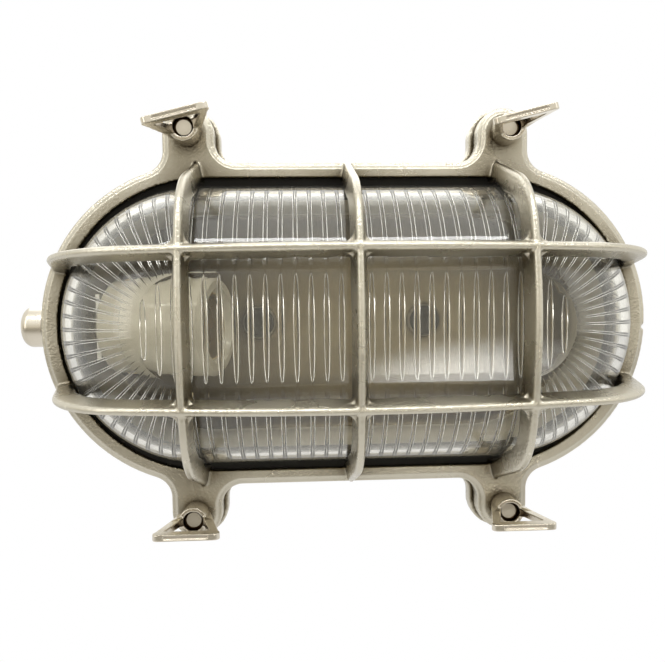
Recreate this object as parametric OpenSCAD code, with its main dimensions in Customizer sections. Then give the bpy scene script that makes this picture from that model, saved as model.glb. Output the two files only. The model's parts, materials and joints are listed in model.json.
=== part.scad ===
// Oblong cast bulkhead light with a cage guard over a ribbed glass bowl.
// Local frame: x to the right, y up the wall, z out of the wall. It is turned so that +Z is up
// and the light faces -Y, with the origin at the middle of the back face.

/* [Base] */
// Half length of the straight sides of the base and guard
spine = 59.7; // [51:0.1:67]
// Depth from the wall to the flange face
base_depth = 44; // [40:0.5:56]
// Outer radius of the flange and of the guard ring
ring_r = 66.3; // [65.5:0.1:70]
// Distance of the dish inside the ring's edge, at the wall
dish_in = 8.3; // [6.3:0.1:10.3]
// Thickness of the dish wall
dish_wall = 3.4; // [2.6:0.1:4]
// Thickness of the dish floor
floor_t = 3.5; // [2.5:0.1:5]
// Thickness of the flange and of the base ears
flange_t = 7; // [5:0.1:9]
// Size of the bevel round the dish's back edge
dish_edge = 1.5; // [0.5:0.1:2]
// Size of the bevel where the floor meets the wall
floor_edge = 2; // [1:0.1:3]
// Slope of the dish wall in degrees
draft = 4; // [2:0.5:5]
// Distance between the two wall screws
fixing_pitch = 80; // [70:1:90]
// Diameter of the wall screw holes
fixing_d = 5.5; // [4:0.1:7]
// Diameter of the screw head recess
fixing_head_d = 10.5; // [9:0.1:11.5]
// Diameter of the bosses round the wall screws
fixing_boss_d = 15; // [13.5:0.5:18]
// Height of the bosses over the floor
fixing_boss_h = 4; // [2:0.5:6]

/* [Ears and studs] */
// Distance of the studs from the middle, along the light
stud_x = 64.7; // [63:0.1:67]
// Distance of the studs outside the long edges of the ring
stud_out = 11.8; // [11.2:0.1:15]
// Diameter of the studs
stud_d = 6; // [5:0.1:6.5]
// Radius of the round end of the guard ears
ear_r = 10.4; // [9.5:0.1:11.5]
// Extra radius of the base ears
ear_extra = 1.6; // [0:0.1:2]
// Fillet radius where an ear meets the ring
ear_fillet = 9; // [6:0.5:11]
// Height of the stud over the guard face
stud_rise = 7.5; // [5:0.1:9]
// How far the studs come out behind the base ears
stud_back = 2; // [1:0.1:4]
// Radial clearance between a thread and its hole
thread_gap = 0.05; // [0.02:0.01:0.1]
// Radial clearance of the stud in the guard ear
ear_gap = 0.4; // [0.2:0.05:0.8]

/* [Gaskets] */
// Thickness of the rubber ring under the glass
base_gasket_t = 2; // [1.5:0.1:3]
// Thickness of the rubber ring over the glass flange
guard_gasket_t = 1.5; // [1:0.1:2.5]
// Clearance round the rubber rings
gasket_gap = 0.3; // [0.2:0.05:0.5]

/* [Glass] */
// Extra half length of the glass's straight sides over those of the ring
glass_long = 0.3; // [0:0.1:0.8]
// Distance of the bowl's rim inside the ring's edge
rim_in = 9.1; // [8.3:0.1:10.3]
// Distance of the glass flange inside the ring's edge
glass_flange_in = 4.9; // [4.7:0.1:6.3]
// Thickness of the flange
glass_flange_t = 3; // [2.5:0.1:4]
// Thickness of the bowl
glass_t = 3.6; // [3:0.1:4.5]
// Radius of the curved flank
flank_r = 45; // [43.5:0.1:46]
// Height of the widest part of the bowl over the back of the flange
flank_up = 2; // [1:0.1:3]
// Half height of the flat front panel
panel_r = 20; // [17:0.5:23]
// Number of steps between ribs along the straight sides
rib_steps = 22; // [16:1:26]
// Angle between the ribs round the ends, in degrees
rib_angle = 6; // [5:1:10]
// Width of a rib
rib_w = 1.7; // [1.2:0.1:2.2]
// Distance of the short ribs at the ends of the panel inside its edge
panel_rib_in = 2; // [1:0.1:4]
// Height of a rib inside the bowl
rib_h = 0.8; // [0.5:0.1:1.2]

/* [Guard] */
// Width of the guard ring
ring_w = 6.1; // [5.3:0.1:6.8]
// Extra width of the ring at its two ends
ring_end_w = 1; // [0.5:0.1:1.3]
// Thickness of the ring plate over its gasket
plate_t = 4; // [3.5:0.1:5]
// Thickness of the skirt wall round the glass flange
skirt_t = 2.9; // [2:0.1:3.2]
// Gap between the guard and the flange of the base
skirt_gap = 1.2; // [0.8:0.1:1.8]
// Width of the lower step round the ring face
step_w = 2; // [1.5:0.1:2.4]
// Height of that step
step_h = 1.2; // [0.8:0.1:1.6]
// Size of the rounded corners of the step
step_round = 0.45; // [0.2:0.05:0.6]
// Least gap between the cage and the glass
bowl_gap = 1.2; // [0.8:0.1:2]
// Place of the small notch in the right end of the ring, below the middle
notch_y = 2.9; // [0:0.1:10]
// Side of the notch
notch_d = 2.2; // [1.4:0.1:3]

/* [Cage] */
// Distance of the outer vertical bars from the middle
bar_x = 61.5; // [58:0.1:63]
// Distance of the horizontal bars from the middle
bar_y = 28; // [26:0.1:30]
// Height of the middle crossings over the ring face
cage_h = 52.1; // [50:0.1:56]
// Radius of the front arc of the horizontal bars
crown_x_r = 500; // [450:1:560]
// Radius of the front arc of the vertical bars
crown_y_r = 145; // [140:1:180]
// Lean of the ends of the horizontal bars, in degrees
lean_x = 15; // [12:0.5:17]
// Lean of the ends of the vertical bars, in degrees
lean_y = 19; // [17:0.5:20]
// Corner radius of the horizontal bars
corner_x_r = 36; // [33:0.5:39]
// Corner radius of the vertical bars
corner_y_r = 26; // [23:0.5:28]
// Distance of the ends of the horizontal bars inside the ring's edge
root_in = 1.2; // [0.8:0.1:1.8]
// Slope of the horizontal bars in degrees; they stand closer together at the ring than at the front
bar_slope = 3.8; // [2:0.1:5]
// Depth of a bar from its front bead to its back
bar_depth = 8.5; // [7.5:0.1:9]
// Width of a bar at its back
bar_back_w = 6; // [5:0.1:6.6]
// Diameter of the front bead
bead_d = 2.9; // [2.4:0.1:3.4]
// Fillet radius at the crossings
cross_fillet = 3; // [2:0.1:4]
// How far the bead of a horizontal bar stands over a vertical one
bead_lift = 0.3; // [0.2:0.05:0.5]

/* [Thumb nuts] */
// Diameter of the barrel
barrel_d = 11.2; // [10:0.1:12]
// Length of the barrel
barrel_h = 10; // [9.5:0.1:12]
// Diameter of the recess at the front of the barrel
recess_d = 8; // [7:0.1:8.6]
// Depth of that recess
recess_h = 3.5; // [3:0.1:4.5]
// Length of the cross bar
nut_bar_l = 25.2; // [23:0.1:27]
// Height of the middle of the cross bar over the ear
nut_bar_h = 26.5; // [25:0.1:31]
// Thickness of the cross bar
nut_bar_t = 4.2; // [3.6:0.1:4.8]
// Thickness of the struts
strut_t = 3; // [2.4:0.1:3.6]
// Thickness of the loop across its plane
loop_t = 3.8; // [3.2:0.1:4.4]
// Turn of the two upper nuts in degrees
nut_turn_top = 14; // [0:1:45]
// Turn of the two lower nuts in degrees
nut_turn_bottom = 0; // [0:1:45]
// Depth of the shallow panel in the cross bar
nut_panel_h = 0.5; // [0.3:0.1:0.8]

/* [Lampholder] */
// Outer diameter of the ceramic
holder_d = 42; // [40:0.5:44]
// Length of the ceramic
holder_l = 46; // [42:0.5:48]
// Tilt of the holder toward the front in degrees
holder_tilt = 14; // [8:1:16]
// Distance of the middle of the mouth from the left end of the ring
mouth_in = 72; // [70:0.5:78]
// Height of the middle of the mouth over the wall
mouth_z = 49.5; // [47:0.5:54]
// Inner diameter of the screw shell
shell_d = 27; // [26.4:0.1:27.2]
// Wall of the screw shell
shell_t = 0.6; // [0.5:0.1:0.8]
// Depth of the shell in the ceramic
shell_l = 28; // [24:0.5:30]
// Distance of the shell behind the mouth
shell_set = 3; // [2:0.5:5]
// Diameter of the centre contact
contact_d = 9; // [7:0.5:11]
// Height of the centre contact
contact_h = 2.5; // [2:0.1:4]
// Thickness of the bracket strip
bracket_t = 2; // [1.5:0.1:2.5]
// Width of the bracket strip
bracket_w = 28; // [24:0.5:32]
// Length of the bracket's foot
foot_l = 26; // [22:0.5:28]
// Length of the upright past the middle of the holder
upright_over = 15; // [12:0.5:16]
// Shank diameter of the small screws
screw_d = 4; // [3:0.1:4.5]
// Head diameter of the small screws
screw_head_d = 7.5; // [6.5:0.1:8]
// Head height of the small screws
screw_head_h = 2.6; // [2:0.1:3]
// Distance between the two screws of a pair
screw_pitch = 15; // [13:0.5:16]
// Length of the narrower back of the ceramic
neck_l = 12; // [11:0.5:14]
// How much smaller the radius of that back is
neck_in = 1; // [0.5:0.1:1.5]
// Size of the bevel round the back of the ceramic
neck_edge = 1.5; // [1:0.1:2]
// Size of the bevel round the mouth
mouth_edge = 2; // [1:0.1:3]
// How far the screws from the bracket go into the ceramic
holder_screw_l = 8; // [6:0.5:10]
// Height of the terminal screws over the back of the ceramic
terminal_z = 6.5; // [6:0.1:6.9]
// Length of the terminal screws
terminal_screw_l = 5; // [4:0.5:6]
// Distance of the earth screw behind the mouth of the holder
earth_back = 24; // [20:0.5:28]
// Distance of the earth screw from the foot of the dish wall
earth_in = 16; // [10:0.5:20]

/* [Cable gland] */
// Height of the gland over the wall
gland_z = 28; // [26:0.5:29]
// Diameter of the boss on the base
gland_boss_d = 19; // [18.5:0.1:19.5]
// Distance of the boss face inside the end of the flange
gland_boss_in = 1.5; // [0:0.1:2]
// Diameter of the gland's collar
collar_d = 16.6; // [15.5:0.1:17.4]
// Length of the collar
collar_l = 7.7; // [7:0.1:10]
// Diameter of the threaded tube
tube_d = 13; // [12:0.1:13.6]
// Diameter of the way through the tube
tube_bore_d = 9; // [8:0.1:9.4]
// Diameter of the dome nut
dome_d = 17.8; // [17:0.1:18.6]
// Length of the dome nut
dome_l = 9.6; // [9:0.1:12]
// Radius of the dome nut's round edge
dome_round = 3.6; // [2:0.1:4]
// Diameter of the cable hole in the seal
cable_d = 7; // [5:0.1:7.6]
// Radial clearance of the cable in the dome nut
cable_gap = 0.6; // [0.3:0.1:1]
// Length of the rubber seal
seal_l = 4; // [3:0.1:4.6]
// How far the tube goes into the dome nut
tube_in = 4; // [3:0.1:4.4]

/* [Hidden] */
$fn = 64;
nickel = [0.78, 0.74, 0.66];
rubber = [0.06, 0.06, 0.06];
ceramic = [0.92, 0.89, 0.80];
brass = [0.80, 0.66, 0.36];
steel = [0.66, 0.66, 0.66];
eps = 0.01;
big = 400;

// Ring, dish and glass from the ring's edge
dish_r = ring_r - dish_in;
stud_y = ring_r + stud_out;
glass_spine = spine + glass_long;
glass_r = ring_r - rim_in;
glass_flange_r = ring_r - glass_flange_in;
ring_in_r = ring_r - ring_w;

// Levels over the wall
glass_z = base_depth + base_gasket_t;
flange_top = glass_z + glass_flange_t;
plate_z = flange_top + guard_gasket_t;
face_z = plate_z + plate_t;
step_z = face_z - step_h;
skirt_z = base_depth + skirt_gap;
skirt_in_r = ring_r - skirt_t;
flange_z = base_depth - flange_t;

// Dish wall
wall_foot = dish_r - dish_wall;
wall_rise = (flange_z - floor_t) * tan(draft);

// Bowl
flank_x = glass_r - flank_r;
flank_z = glass_z + flank_up;
panel_z = flank_z + sqrt(flank_r * flank_r - (panel_r - flank_x) * (panel_r - flank_x));
rib_pitch = 2 * glass_spine / rib_steps;
rib_sink = 0.3;

// Flats round the bead of a cage bar
bead_flats = 6;
bead_turn = 80;
// Neighbouring solids cross by these amounts, so that no two faces only touch
seam_in = 0.04;
seam_lap = 0.5;
fillet_bite = 0.02;
bend_lap = 0.4;
upright_in = 0.2;
foot_in = 0.2;
foot_sink = 0.8;
hole_past = 1;
head_set = 0.6;
screw_end_in = 0.5;
wall_lap = 1;
wall_step = 0.3;
ear_deep = 8;
rib_start = 1;
leg_deep = 3;
web_bite = 0.9;
web_end = 0.4;
strut_bite = 2;
strut_low = 1.5;
strut_in = 0.4;
strut_up = 0.6;
tube_past = 2;
upright_past = 4;

// Gland along the light
boss_x = spine + ring_r - gland_boss_in;
collar_x = boss_x + collar_l;
dome_x = collar_x + dome_l;

// Place of the lampholder's mouth along the light
mouth_x = mouth_in - spine - ring_r;

module wall_frame() {
    rotate([90, 0, 0]) children();
}

module stadium(half, r) {
    translate([-half, 0]) circle(r);
    translate([half, 0]) circle(r);
    translate([-half, -r]) square([2 * half, 2 * r]);
}

// A profile of radius and height, carried round both ends and along both sides
module oblong(half) {
    translate([half, 0, 0]) rotate([0, 0, -90]) rotate_extrude(angle = 180) children();
    translate([-half, 0, 0]) rotate([0, 0, 90]) rotate_extrude(angle = 180) children();
    translate([-half, 0, 0]) rotate([90, 0, 90]) linear_extrude(2 * half) children();
    mirror([0, 1, 0]) translate([-half, 0, 0]) rotate([90, 0, 90]) linear_extrude(2 * half) children();
}

module four_corners() {
    for (sx = [0, 1], sy = [0, 1]) mirror([sx, 0, 0]) mirror([0, sy, 0]) children();
}

// One ear with its two fillets; every edge can be drawn in by d
module ear_2d(r0, d) {
    r = r0 - d;
    ring = ring_r - d;
    f = ear_fillet + d;
    top = ring_r + ear_fillet;
    out_x = stud_x + r0 + ear_fillet;
    out_y = sqrt(top * top - (out_x - spine) * (out_x - spine));
    in_x = stud_x - r0 - ear_fillet;
    translate([stud_x, stud_y]) circle(r);
    translate([stud_x - r, ring_in_r]) square([2 * r, stud_y - ring_in_r]);
    difference() {
        translate([in_x, ring_in_r]) square([ear_fillet + r0, top - ring_in_r]);
        translate([in_x, top]) circle(f + fillet_bite);
    }
    difference() {
        polygon([[stud_x, out_y], [out_x, out_y],
                 [spine + (out_x - spine) * ring / top, out_y * ring / top], [stud_x, ring_in_r - ear_deep]]);
        translate([out_x, out_y]) circle(f + fillet_bite);
    }
}

module eared_outline(r0, d) {
    stadium(spine, ring_r - d);
    four_corners() ear_2d(r0, d);
}

module stud_holes(d) {
    four_corners() translate([stud_x, stud_y, -eps]) cylinder(d = d, h = big);
}

// Cast dish with its flange, ears and bosses
module base() {
    color(nickel) wall_frame() difference() {
        union() {
            oblong(spine) polygon([
                [0, 0], [dish_r - dish_edge, 0], [dish_r, dish_edge],
                [dish_r + wall_rise, flange_z + wall_lap],
                [wall_foot + wall_rise, flange_z + wall_lap], [wall_foot + wall_step, floor_t + floor_edge],
                [wall_foot + wall_step - floor_edge, floor_t], [0, floor_t]]);
            translate([0, 0, flange_z]) linear_extrude(flange_t) difference() {
                eared_outline(ear_r + ear_extra, 0);
                stadium(spine, wall_foot + wall_rise);
            }
            for (s = [-1, 1]) translate([s * fixing_pitch / 2, 0, floor_t - eps])
                cylinder(d = fixing_boss_d, h = fixing_boss_h);
            translate([-boss_x, 0, gland_z]) rotate([0, 90, 0])
                cylinder(d = gland_boss_d, h = boss_x - spine - wall_foot - wall_rise * gland_z / flange_z);
        }
        for (s = [-1, 1]) translate([s * fixing_pitch / 2, 0, -eps]) {
            cylinder(d = fixing_d, h = big);
            translate([0, 0, floor_t]) cylinder(d = fixing_head_d, h = big);
        }
        translate([-boss_x - eps, 0, gland_z]) rotate([0, 90, 0])
            cylinder(d = tube_d + 2 * thread_gap, h = boss_x - spine - wall_foot + dish_wall + tube_d / 2);
        stud_holes(stud_d + 2 * thread_gap);
        for (s = [-1, 1]) translate([foot_screw_x, s * screw_pitch / 2, -eps])
            cylinder(d = screw_d + 2 * thread_gap, h = big);
        translate([earth_x, earth_y, -eps]) cylinder(d = screw_d + 2 * thread_gap, h = floor_t + 2 * eps);
    }
}

// Flat rubber ring on the flange
module base_gasket() {
    color(rubber) wall_frame() translate([0, 0, base_depth]) linear_extrude(base_gasket_t) difference() {
        stadium(spine, skirt_in_r - gasket_gap);
        stadium(spine, wall_foot + wall_rise);
    }
}

// Half section of the bowl's solid outline, drawn in by t
module bowl_2d(t) {
    intersection() {
        union() {
            translate([flank_x, flank_z]) circle(flank_r - t, $fn = 180);
            translate([0, glass_z]) square([flank_x, big]);
        }
        translate([0, glass_z - 5]) square([big, panel_z - t - glass_z + 5]);
    }
}

module bowl_wall_2d() {
    intersection() {
        difference() {
            bowl_2d(0);
            bowl_2d(glass_t);
        }
        translate([0, flange_top - eps]) square(big);
    }
    translate([glass_r - glass_t, glass_z]) square([glass_flange_r - glass_r + glass_t, glass_flange_t]);
}

// Section of a rib on the inner face of the bowl
module rib_2d() {
    intersection() {
        difference() {
            bowl_2d(glass_t - rib_sink);
            bowl_2d(glass_t + rib_h);
        }
        translate([0, flange_top + rib_start]) square(big);
    }
}

module straight_rib(x) {
    translate([x - rib_w / 2, 0, 0]) rotate([90, 0, 90]) linear_extrude(rib_w) {
        rib_2d();
        mirror([1, 0]) rib_2d();
    }
}

module end_rib(a) {
    translate([glass_spine, 0, 0]) rotate([0, 0, a]) translate([0, rib_w / 2, 0]) rotate([90, 0, 0])
        linear_extrude(rib_w) intersection() {
            rib_2d();
            translate([panel_r - rib_start, 0]) square(big);
        }
}

// Short ribs across the round ends of the flat panel
module panel_rib(i) {
    reach = i * rib_pitch;
    half = sqrt(panel_r * panel_r - reach * reach) - panel_rib_in;
    translate([glass_spine + reach - rib_w / 2, -half, panel_z - glass_t - rib_h])
        cube([rib_w, 2 * half, rib_h + rib_sink]);
}

// Clear pressed bowl, smooth outside and ribbed inside
module glass() {
    end_n = floor(90 / rib_angle);
    panel_n = floor((panel_r - panel_rib_in - rib_start) / rib_pitch);
    color([0.85, 0.88, 0.86, 0.45]) wall_frame() {
        oblong(glass_spine) bowl_wall_2d();
        for (i = [0 : rib_steps]) straight_rib(-glass_spine + i * rib_pitch);
        for (m = [0, 1]) mirror([m, 0, 0]) {
            for (i = [1 - end_n : end_n - 1]) end_rib(i * rib_angle);
            for (i = [1 : panel_n]) panel_rib(i);
        }
    }
}

// Flat rubber ring over the glass flange; its inner edge is the black band in view
module guard_gasket() {
    color(rubber) wall_frame() translate([0, 0, flange_top]) linear_extrude(guard_gasket_t) difference() {
        stadium(spine, skirt_in_r - gasket_gap);
        stadium(glass_spine, glass_r + gasket_gap);
    }
}

// Section of a blade bar: a bead of short flats at the front and a widening web behind it
module blade_2d(d) {
    r = bead_d / 2;
    back = bar_back_w / 2 - d;
    bead = [for (i = [0 : bead_flats])
        let (a = bead_turn * (2 * i / bead_flats - 1)) [(r - d) * cos(a) - r, (r - d) * sin(a)]];
    polygon(concat([[d - bar_depth, back], [d - bar_depth, -back]], bead));
}

// Height of the corner's centre for a bar that leans in from foot, turns by corner and ends in crown
function corner_z(foot, h, crown, corner, lean) =
    let (a = foot - corner / cos(lean), t = tan(lean), k = crown - h, q = k - a * t,
         c = a * a + k * k - (crown - corner) * (crown - corner))
    (-q + sqrt(q * q - (1 + t * t) * c)) / (1 + t * t);

// A whole bar in its own plane, with its foot level at height 0
module bar(foot, h, crown, corner, lean) {
    cz = corner_z(foot, h, crown, corner, lean);
    cu = foot - corner / cos(lean) - cz * tan(lean);
    turn = asin(cu / (crown - corner));
    run = (cz + corner * sin(lean) + leg_deep) / cos(lean);
    lap = seam_lap / corner * 180 / PI;
    translate([0, h - crown, 0]) rotate([0, 0, 90 - turn]) rotate_extrude(angle = 2 * turn, $fn = 360)
        translate([crown, 0]) blade_2d(0);
    for (m = [0, 1]) mirror([m, 0, 0]) translate([cu, cz, 0]) rotate([0, 0, lean]) {
        rotate([0, 0, -lap]) rotate_extrude(angle = 90 - turn - lean + 2 * lap, $fn = 180)
            translate([corner, 0]) blade_2d(seam_in);
        rotate([90, 0, 0]) linear_extrude(run) translate([corner, 0]) blade_2d(0);
    }
}

// Concave fillets in the four corners of a crossing
module crossing(x, h) {
    half = bar_back_w / 2 - web_bite + cross_fillet;
    deep = bar_depth - bead_d - 2 * web_end;
    mid_y = bar_y - (cage_h - h + bar_depth / 2) * tan(bar_slope);
    translate([x, mid_y, face_z + h - bar_depth + web_end]) linear_extrude(deep) difference() {
        translate([-half, -half]) square(2 * half);
        for (sx = [-1, 1], sy = [-1, 1]) translate([sx * half, sy * half]) circle(cross_fillet);
    }
}

module cage() {
    foot_y = bar_y - cage_h * tan(bar_slope);
    foot_x = spine + sqrt(ring_r * ring_r - foot_y * foot_y) - root_in;
    for (m = [0, 1]) mirror([0, m, 0]) translate([0, foot_y, face_z]) rotate([90 - bar_slope, 0, 0])
        bar(foot_x, (cage_h + bead_lift) / cos(bar_slope), crown_x_r, corner_x_r, lean_x);
    for (x = [-bar_x, 0, bar_x]) translate([x, 0, face_z]) rotate([90, 0, 90])
        bar(ring_r, apex_h(x), crown_y_r, corner_y_r, lean_y);
    for (x = [-bar_x, 0, bar_x], s = [0, 1]) mirror([0, s, 0]) crossing(x, cross_h(x));
}

// Height of a crossing and of the top of a vertical bar, over the ring face
function cross_h(x) = cage_h - crown_x_r + sqrt(crown_x_r * crown_x_r - x * x);
function apex_h(x) = cross_h(x) + crown_y_r - sqrt(crown_y_r * crown_y_r - bar_y * bar_y);

// Cast ring with ears and the cage in one piece
module guard() {
    color(nickel) wall_frame() difference() {
        union() {
            difference() {
                union() {
                    translate([0, 0, skirt_z]) linear_extrude(step_z - skirt_z - step_round)
                        eared_outline(ear_r, 0);
                    translate([0, 0, step_z - step_round - eps]) linear_extrude(step_round + eps)
                        eared_outline(ear_r, step_round);
                    translate([0, 0, step_z - eps]) linear_extrude(step_h - step_round + eps)
                        eared_outline(ear_r, step_w);
                    translate([0, 0, face_z - step_round - eps]) linear_extrude(step_round + eps)
                        eared_outline(ear_r, step_w + step_round);
                }
                linear_extrude(big) stadium(spine - ring_end_w, ring_in_r);
                linear_extrude(plate_z) stadium(spine, skirt_in_r);
            }
            difference() {
                intersection() {
                    cage();
                    union() {
                        translate([0, 0, plate_z + foot_sink]) linear_extrude(plate_t)
                            stadium(spine, ring_r - foot_in);
                        translate([0, 0, face_z]) linear_extrude(big) stadium(spine, ring_r + bar_depth);
                    }
                }
                oblong(glass_spine) intersection() {
                    bowl_2d(-bowl_gap);
                    translate([0, plate_z]) square(big);
                }
            }
        }
        stud_holes(stud_d + 2 * ear_gap);
        translate([spine + ring_r, -notch_y, 0]) rotate([0, 0, 45])
            translate([-notch_d / 2, -notch_d / 2, 0]) cube([notch_d, notch_d, big]);
    }
}

// Threaded studs in the base ears
module studs() {
    color(nickel) wall_frame() four_corners() translate([stud_x, stud_y, flange_z - stud_back])
        cylinder(d = stud_d, h = face_z + stud_rise - flange_z + stud_back);
}

// Closed triangular loop of a thumb nut, in the plane of its stud
module loop_2d() {
    end = nut_bar_l / 2 - nut_bar_t / 2;
    for (s = [-1, 1]) translate([s * end, nut_bar_h]) circle(d = nut_bar_t);
    translate([-end, nut_bar_h - nut_bar_t / 2]) square([2 * end, nut_bar_t]);
    root = barrel_d / 2 - strut_bite;
    tip = end + nut_bar_t / 2 - strut_in;
    for (m = [0, 1]) mirror([m, 0]) polygon([
        [root, strut_low], [barrel_d / 2, strut_low], [tip, nut_bar_h - strut_up], [tip - strut_t, nut_bar_h],
        [root, barrel_h - hole_past]]);
}

module thumb_nut(x, y, turn) {
    end = nut_bar_l / 2 - nut_bar_t;
    color(nickel) wall_frame() translate([x, y, face_z]) rotate([0, 0, turn]) difference() {
        union() {
            cylinder(d = barrel_d, h = barrel_h);
            translate([0, loop_t / 2, 0]) rotate([90, 0, 0]) linear_extrude(loop_t) loop_2d();
        }
        translate([0, 0, -eps]) cylinder(d = stud_d + 2 * thread_gap, h = barrel_h + 2);
        translate([0, 0, barrel_h - recess_h]) cylinder(d = recess_d, h = recess_h + 2);
        translate([0, 0, nut_bar_h + nut_bar_t / 2 - nut_panel_h]) linear_extrude(nut_panel_h + 1)
            stadium(end - loop_t / 4, loop_t / 4);
    }
}

module thumb_nut_tl() { thumb_nut(-stud_x, stud_y, nut_turn_top); }
module thumb_nut_tr() { thumb_nut(stud_x, stud_y, nut_turn_top); }
module thumb_nut_bl() { thumb_nut(-stud_x, -stud_y, nut_turn_bottom); }
module thumb_nut_br() { thumb_nut(stud_x, -stud_y, nut_turn_bottom); }

// Places the lampholder's axis: local z runs from the bracket to the mouth
module holder_frame() {
    translate([mouth_x, 0, mouth_z]) rotate([0, 90 - holder_tilt, 0]) translate([0, 0, -holder_l]) children();
}

// Where the upright of the bracket meets the foot, and the two foot screws
back_x = mouth_x - holder_l * cos(holder_tilt);
back_z = mouth_z - holder_l * sin(holder_tilt);
upright_run = (back_z - floor_t) / cos(holder_tilt);
bend_x = back_x + upright_run * sin(holder_tilt);
foot_screw_x = bend_x + foot_l - screw_head_d;
earth_x = mouth_x - earth_back;
earth_y = earth_in - wall_foot;

// Cream ceramic body with a stepped mouth
module lampholder() {
    bore = shell_d / 2 + shell_t + thread_gap;
    floor_z = holder_l - shell_set - shell_l;
    neck_r = holder_d / 2 - neck_in;
    color(ceramic) wall_frame() holder_frame() difference() {
        rotate_extrude() difference() {
            polygon([[0, 0], [neck_r - neck_edge, 0], [neck_r, neck_edge], [neck_r, neck_l - neck_in],
                     [holder_d / 2, neck_l], [holder_d / 2, holder_l - mouth_edge],
                     [holder_d / 2 - mouth_edge, holder_l], [0, holder_l]]);
            translate([-eps, floor_z]) square([bore + eps, holder_l]);
            polygon([[bore - eps, holder_l - shell_set], [bore + shell_set * 0.6, holder_l + eps],
                     [bore - eps, holder_l + eps]]);
        }
        for (s = [-1, 1]) {
            translate([0, s * screw_pitch / 2, -eps])
                cylinder(d = screw_d + 2 * thread_gap, h = holder_screw_l + hole_past);
            translate([0, s * holder_d / 2, terminal_z]) rotate([s * 90, 0, 0]) {
                translate([0, 0, -1]) cylinder(d = screw_head_d + 1, h = 1 + screw_head_h + head_set);
                cylinder(d = screw_d + 2 * thread_gap,
                         h = screw_head_h + head_set + terminal_screw_l + hole_past);
            }
        }
    }
}

// Brass screw shell, open at both ends
module lampholder_shell() {
    color(brass) wall_frame() holder_frame() translate([0, 0, holder_l - shell_set - shell_l]) difference() {
        cylinder(d = shell_d + 2 * shell_t, h = shell_l);
        translate([0, 0, -eps]) cylinder(d = shell_d, h = shell_l + 2 * eps);
    }
}

// Brass centre contact
module lampholder_contact() {
    color(brass) wall_frame() holder_frame() translate([0, 0, holder_l - shell_set - shell_l])
        cylinder(d = contact_d, h = contact_h);
}

// Bent strip: a foot on the floor and an upright behind the ceramic
module lampholder_bracket() {
    color(steel) wall_frame() difference() {
        union() {
            translate([bend_x - bracket_t + bend_lap, -bracket_w / 2, floor_t])
                cube([foot_l + bracket_t - bend_lap, bracket_w, bracket_t]);
            intersection() {
                holder_frame() translate([-upright_over, upright_in - bracket_w / 2, -bracket_t])
                    cube([upright_over + upright_run + upright_past, bracket_w - 2 * upright_in, bracket_t]);
                translate([-big, -big / 2, floor_t]) cube([big, big, big]);
            }
        }
        for (s = [-1, 1]) {
            translate([foot_screw_x, s * screw_pitch / 2, 0])
                cylinder(d = screw_d + 2 * ear_gap, h = floor_t + bracket_t + hole_past);
            holder_frame() translate([0, s * screw_pitch / 2, -bracket_t - hole_past])
                cylinder(d = screw_d + 2 * ear_gap, h = bracket_t + 2 * hole_past);
        }
    }
}

// Round-headed screw with its head over height 0
module small_screw(l) {
    translate([0, 0, -l]) cylinder(d = screw_d, h = l + eps);
    rotate_extrude() polygon([[0, 0], [screw_head_d / 2, 0], [screw_head_d / 2, screw_head_h * 0.45],
                              [screw_head_d / 2 - 1.1, screw_head_h], [0, screw_head_h]]);
}

module holder_screws() {
    color(steel) wall_frame() holder_frame() for (s = [-1, 1])
        translate([0, s * screw_pitch / 2, -bracket_t]) rotate([180, 0, 0])
            small_screw(bracket_t + holder_screw_l);
}

module bracket_screws() {
    color(steel) wall_frame() for (s = [-1, 1])
        translate([foot_screw_x, s * screw_pitch / 2, floor_t + bracket_t])
            small_screw(bracket_t + floor_t - screw_end_in);
}

module terminal_screws() {
    color(brass) wall_frame() holder_frame() for (s = [-1, 1])
        translate([0, s * (holder_d / 2 - screw_head_h - head_set), terminal_z])
            rotate([-s * 90, 0, 0]) small_screw(terminal_screw_l);
}

module earth_screw() {
    color(brass) wall_frame() translate([earth_x, earth_y, floor_t]) small_screw(floor_t - screw_end_in);
}

module along_gland() {
    translate([0, 0, gland_z]) rotate([0, -90, 0]) children();
}

// Threaded tube with its collar, screwed into the boss
module gland_body() {
    color(nickel) wall_frame() along_gland() difference() {
        union() {
            translate([0, 0, boss_x]) cylinder(d = collar_d, h = collar_l);
            translate([0, 0, spine + wall_foot - tube_past])
                cylinder(d = tube_d, h = collar_x + tube_in - spine - wall_foot + tube_past);
        }
        translate([0, 0, spine]) cylinder(d = tube_bore_d, h = big);
    }
}

// Dome nut over the end of the tube
module gland_nut() {
    r = dome_d / 2;
    hole = cable_d / 2 + cable_gap;
    color(nickel) wall_frame() along_gland() rotate_extrude() difference() {
        union() {
            translate([0, collar_x]) square([r, dome_l - dome_round]);
            translate([0, collar_x]) square([r - dome_round, dome_l]);
            translate([r - dome_round, dome_x - dome_round]) circle(dome_round);
        }
        translate([-eps, collar_x - eps]) square([hole + eps, big]);
        translate([-eps, collar_x - eps]) square([tube_d / 2 + thread_gap + eps, tube_in + seal_l + 2 * eps]);
        translate([-big, collar_x - big]) square([big, 2 * big]);
    }
}

// Rubber seal between the tube and the dome
module gland_seal() {
    color(rubber) wall_frame() along_gland() translate([0, 0, collar_x + tube_in]) difference() {
        cylinder(d = tube_d - 2 * gasket_gap, h = seal_l);
        translate([0, 0, -eps]) cylinder(d = cable_d, h = seal_l + 2 * eps);
    }
}

base();
base_gasket();
glass();
guard_gasket();
guard();
studs();
thumb_nut_tl();
thumb_nut_tr();
thumb_nut_bl();
thumb_nut_br();
lampholder();
lampholder_shell();
lampholder_contact();
lampholder_bracket();
holder_screws();
bracket_screws();
terminal_screws();
earth_screw();
gland_body();
gland_nut();
gland_seal();
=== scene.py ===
import json
import math

import bmesh
import bpy
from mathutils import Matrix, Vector
from mathutils.geometry import delaunay_2d_cdt


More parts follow.
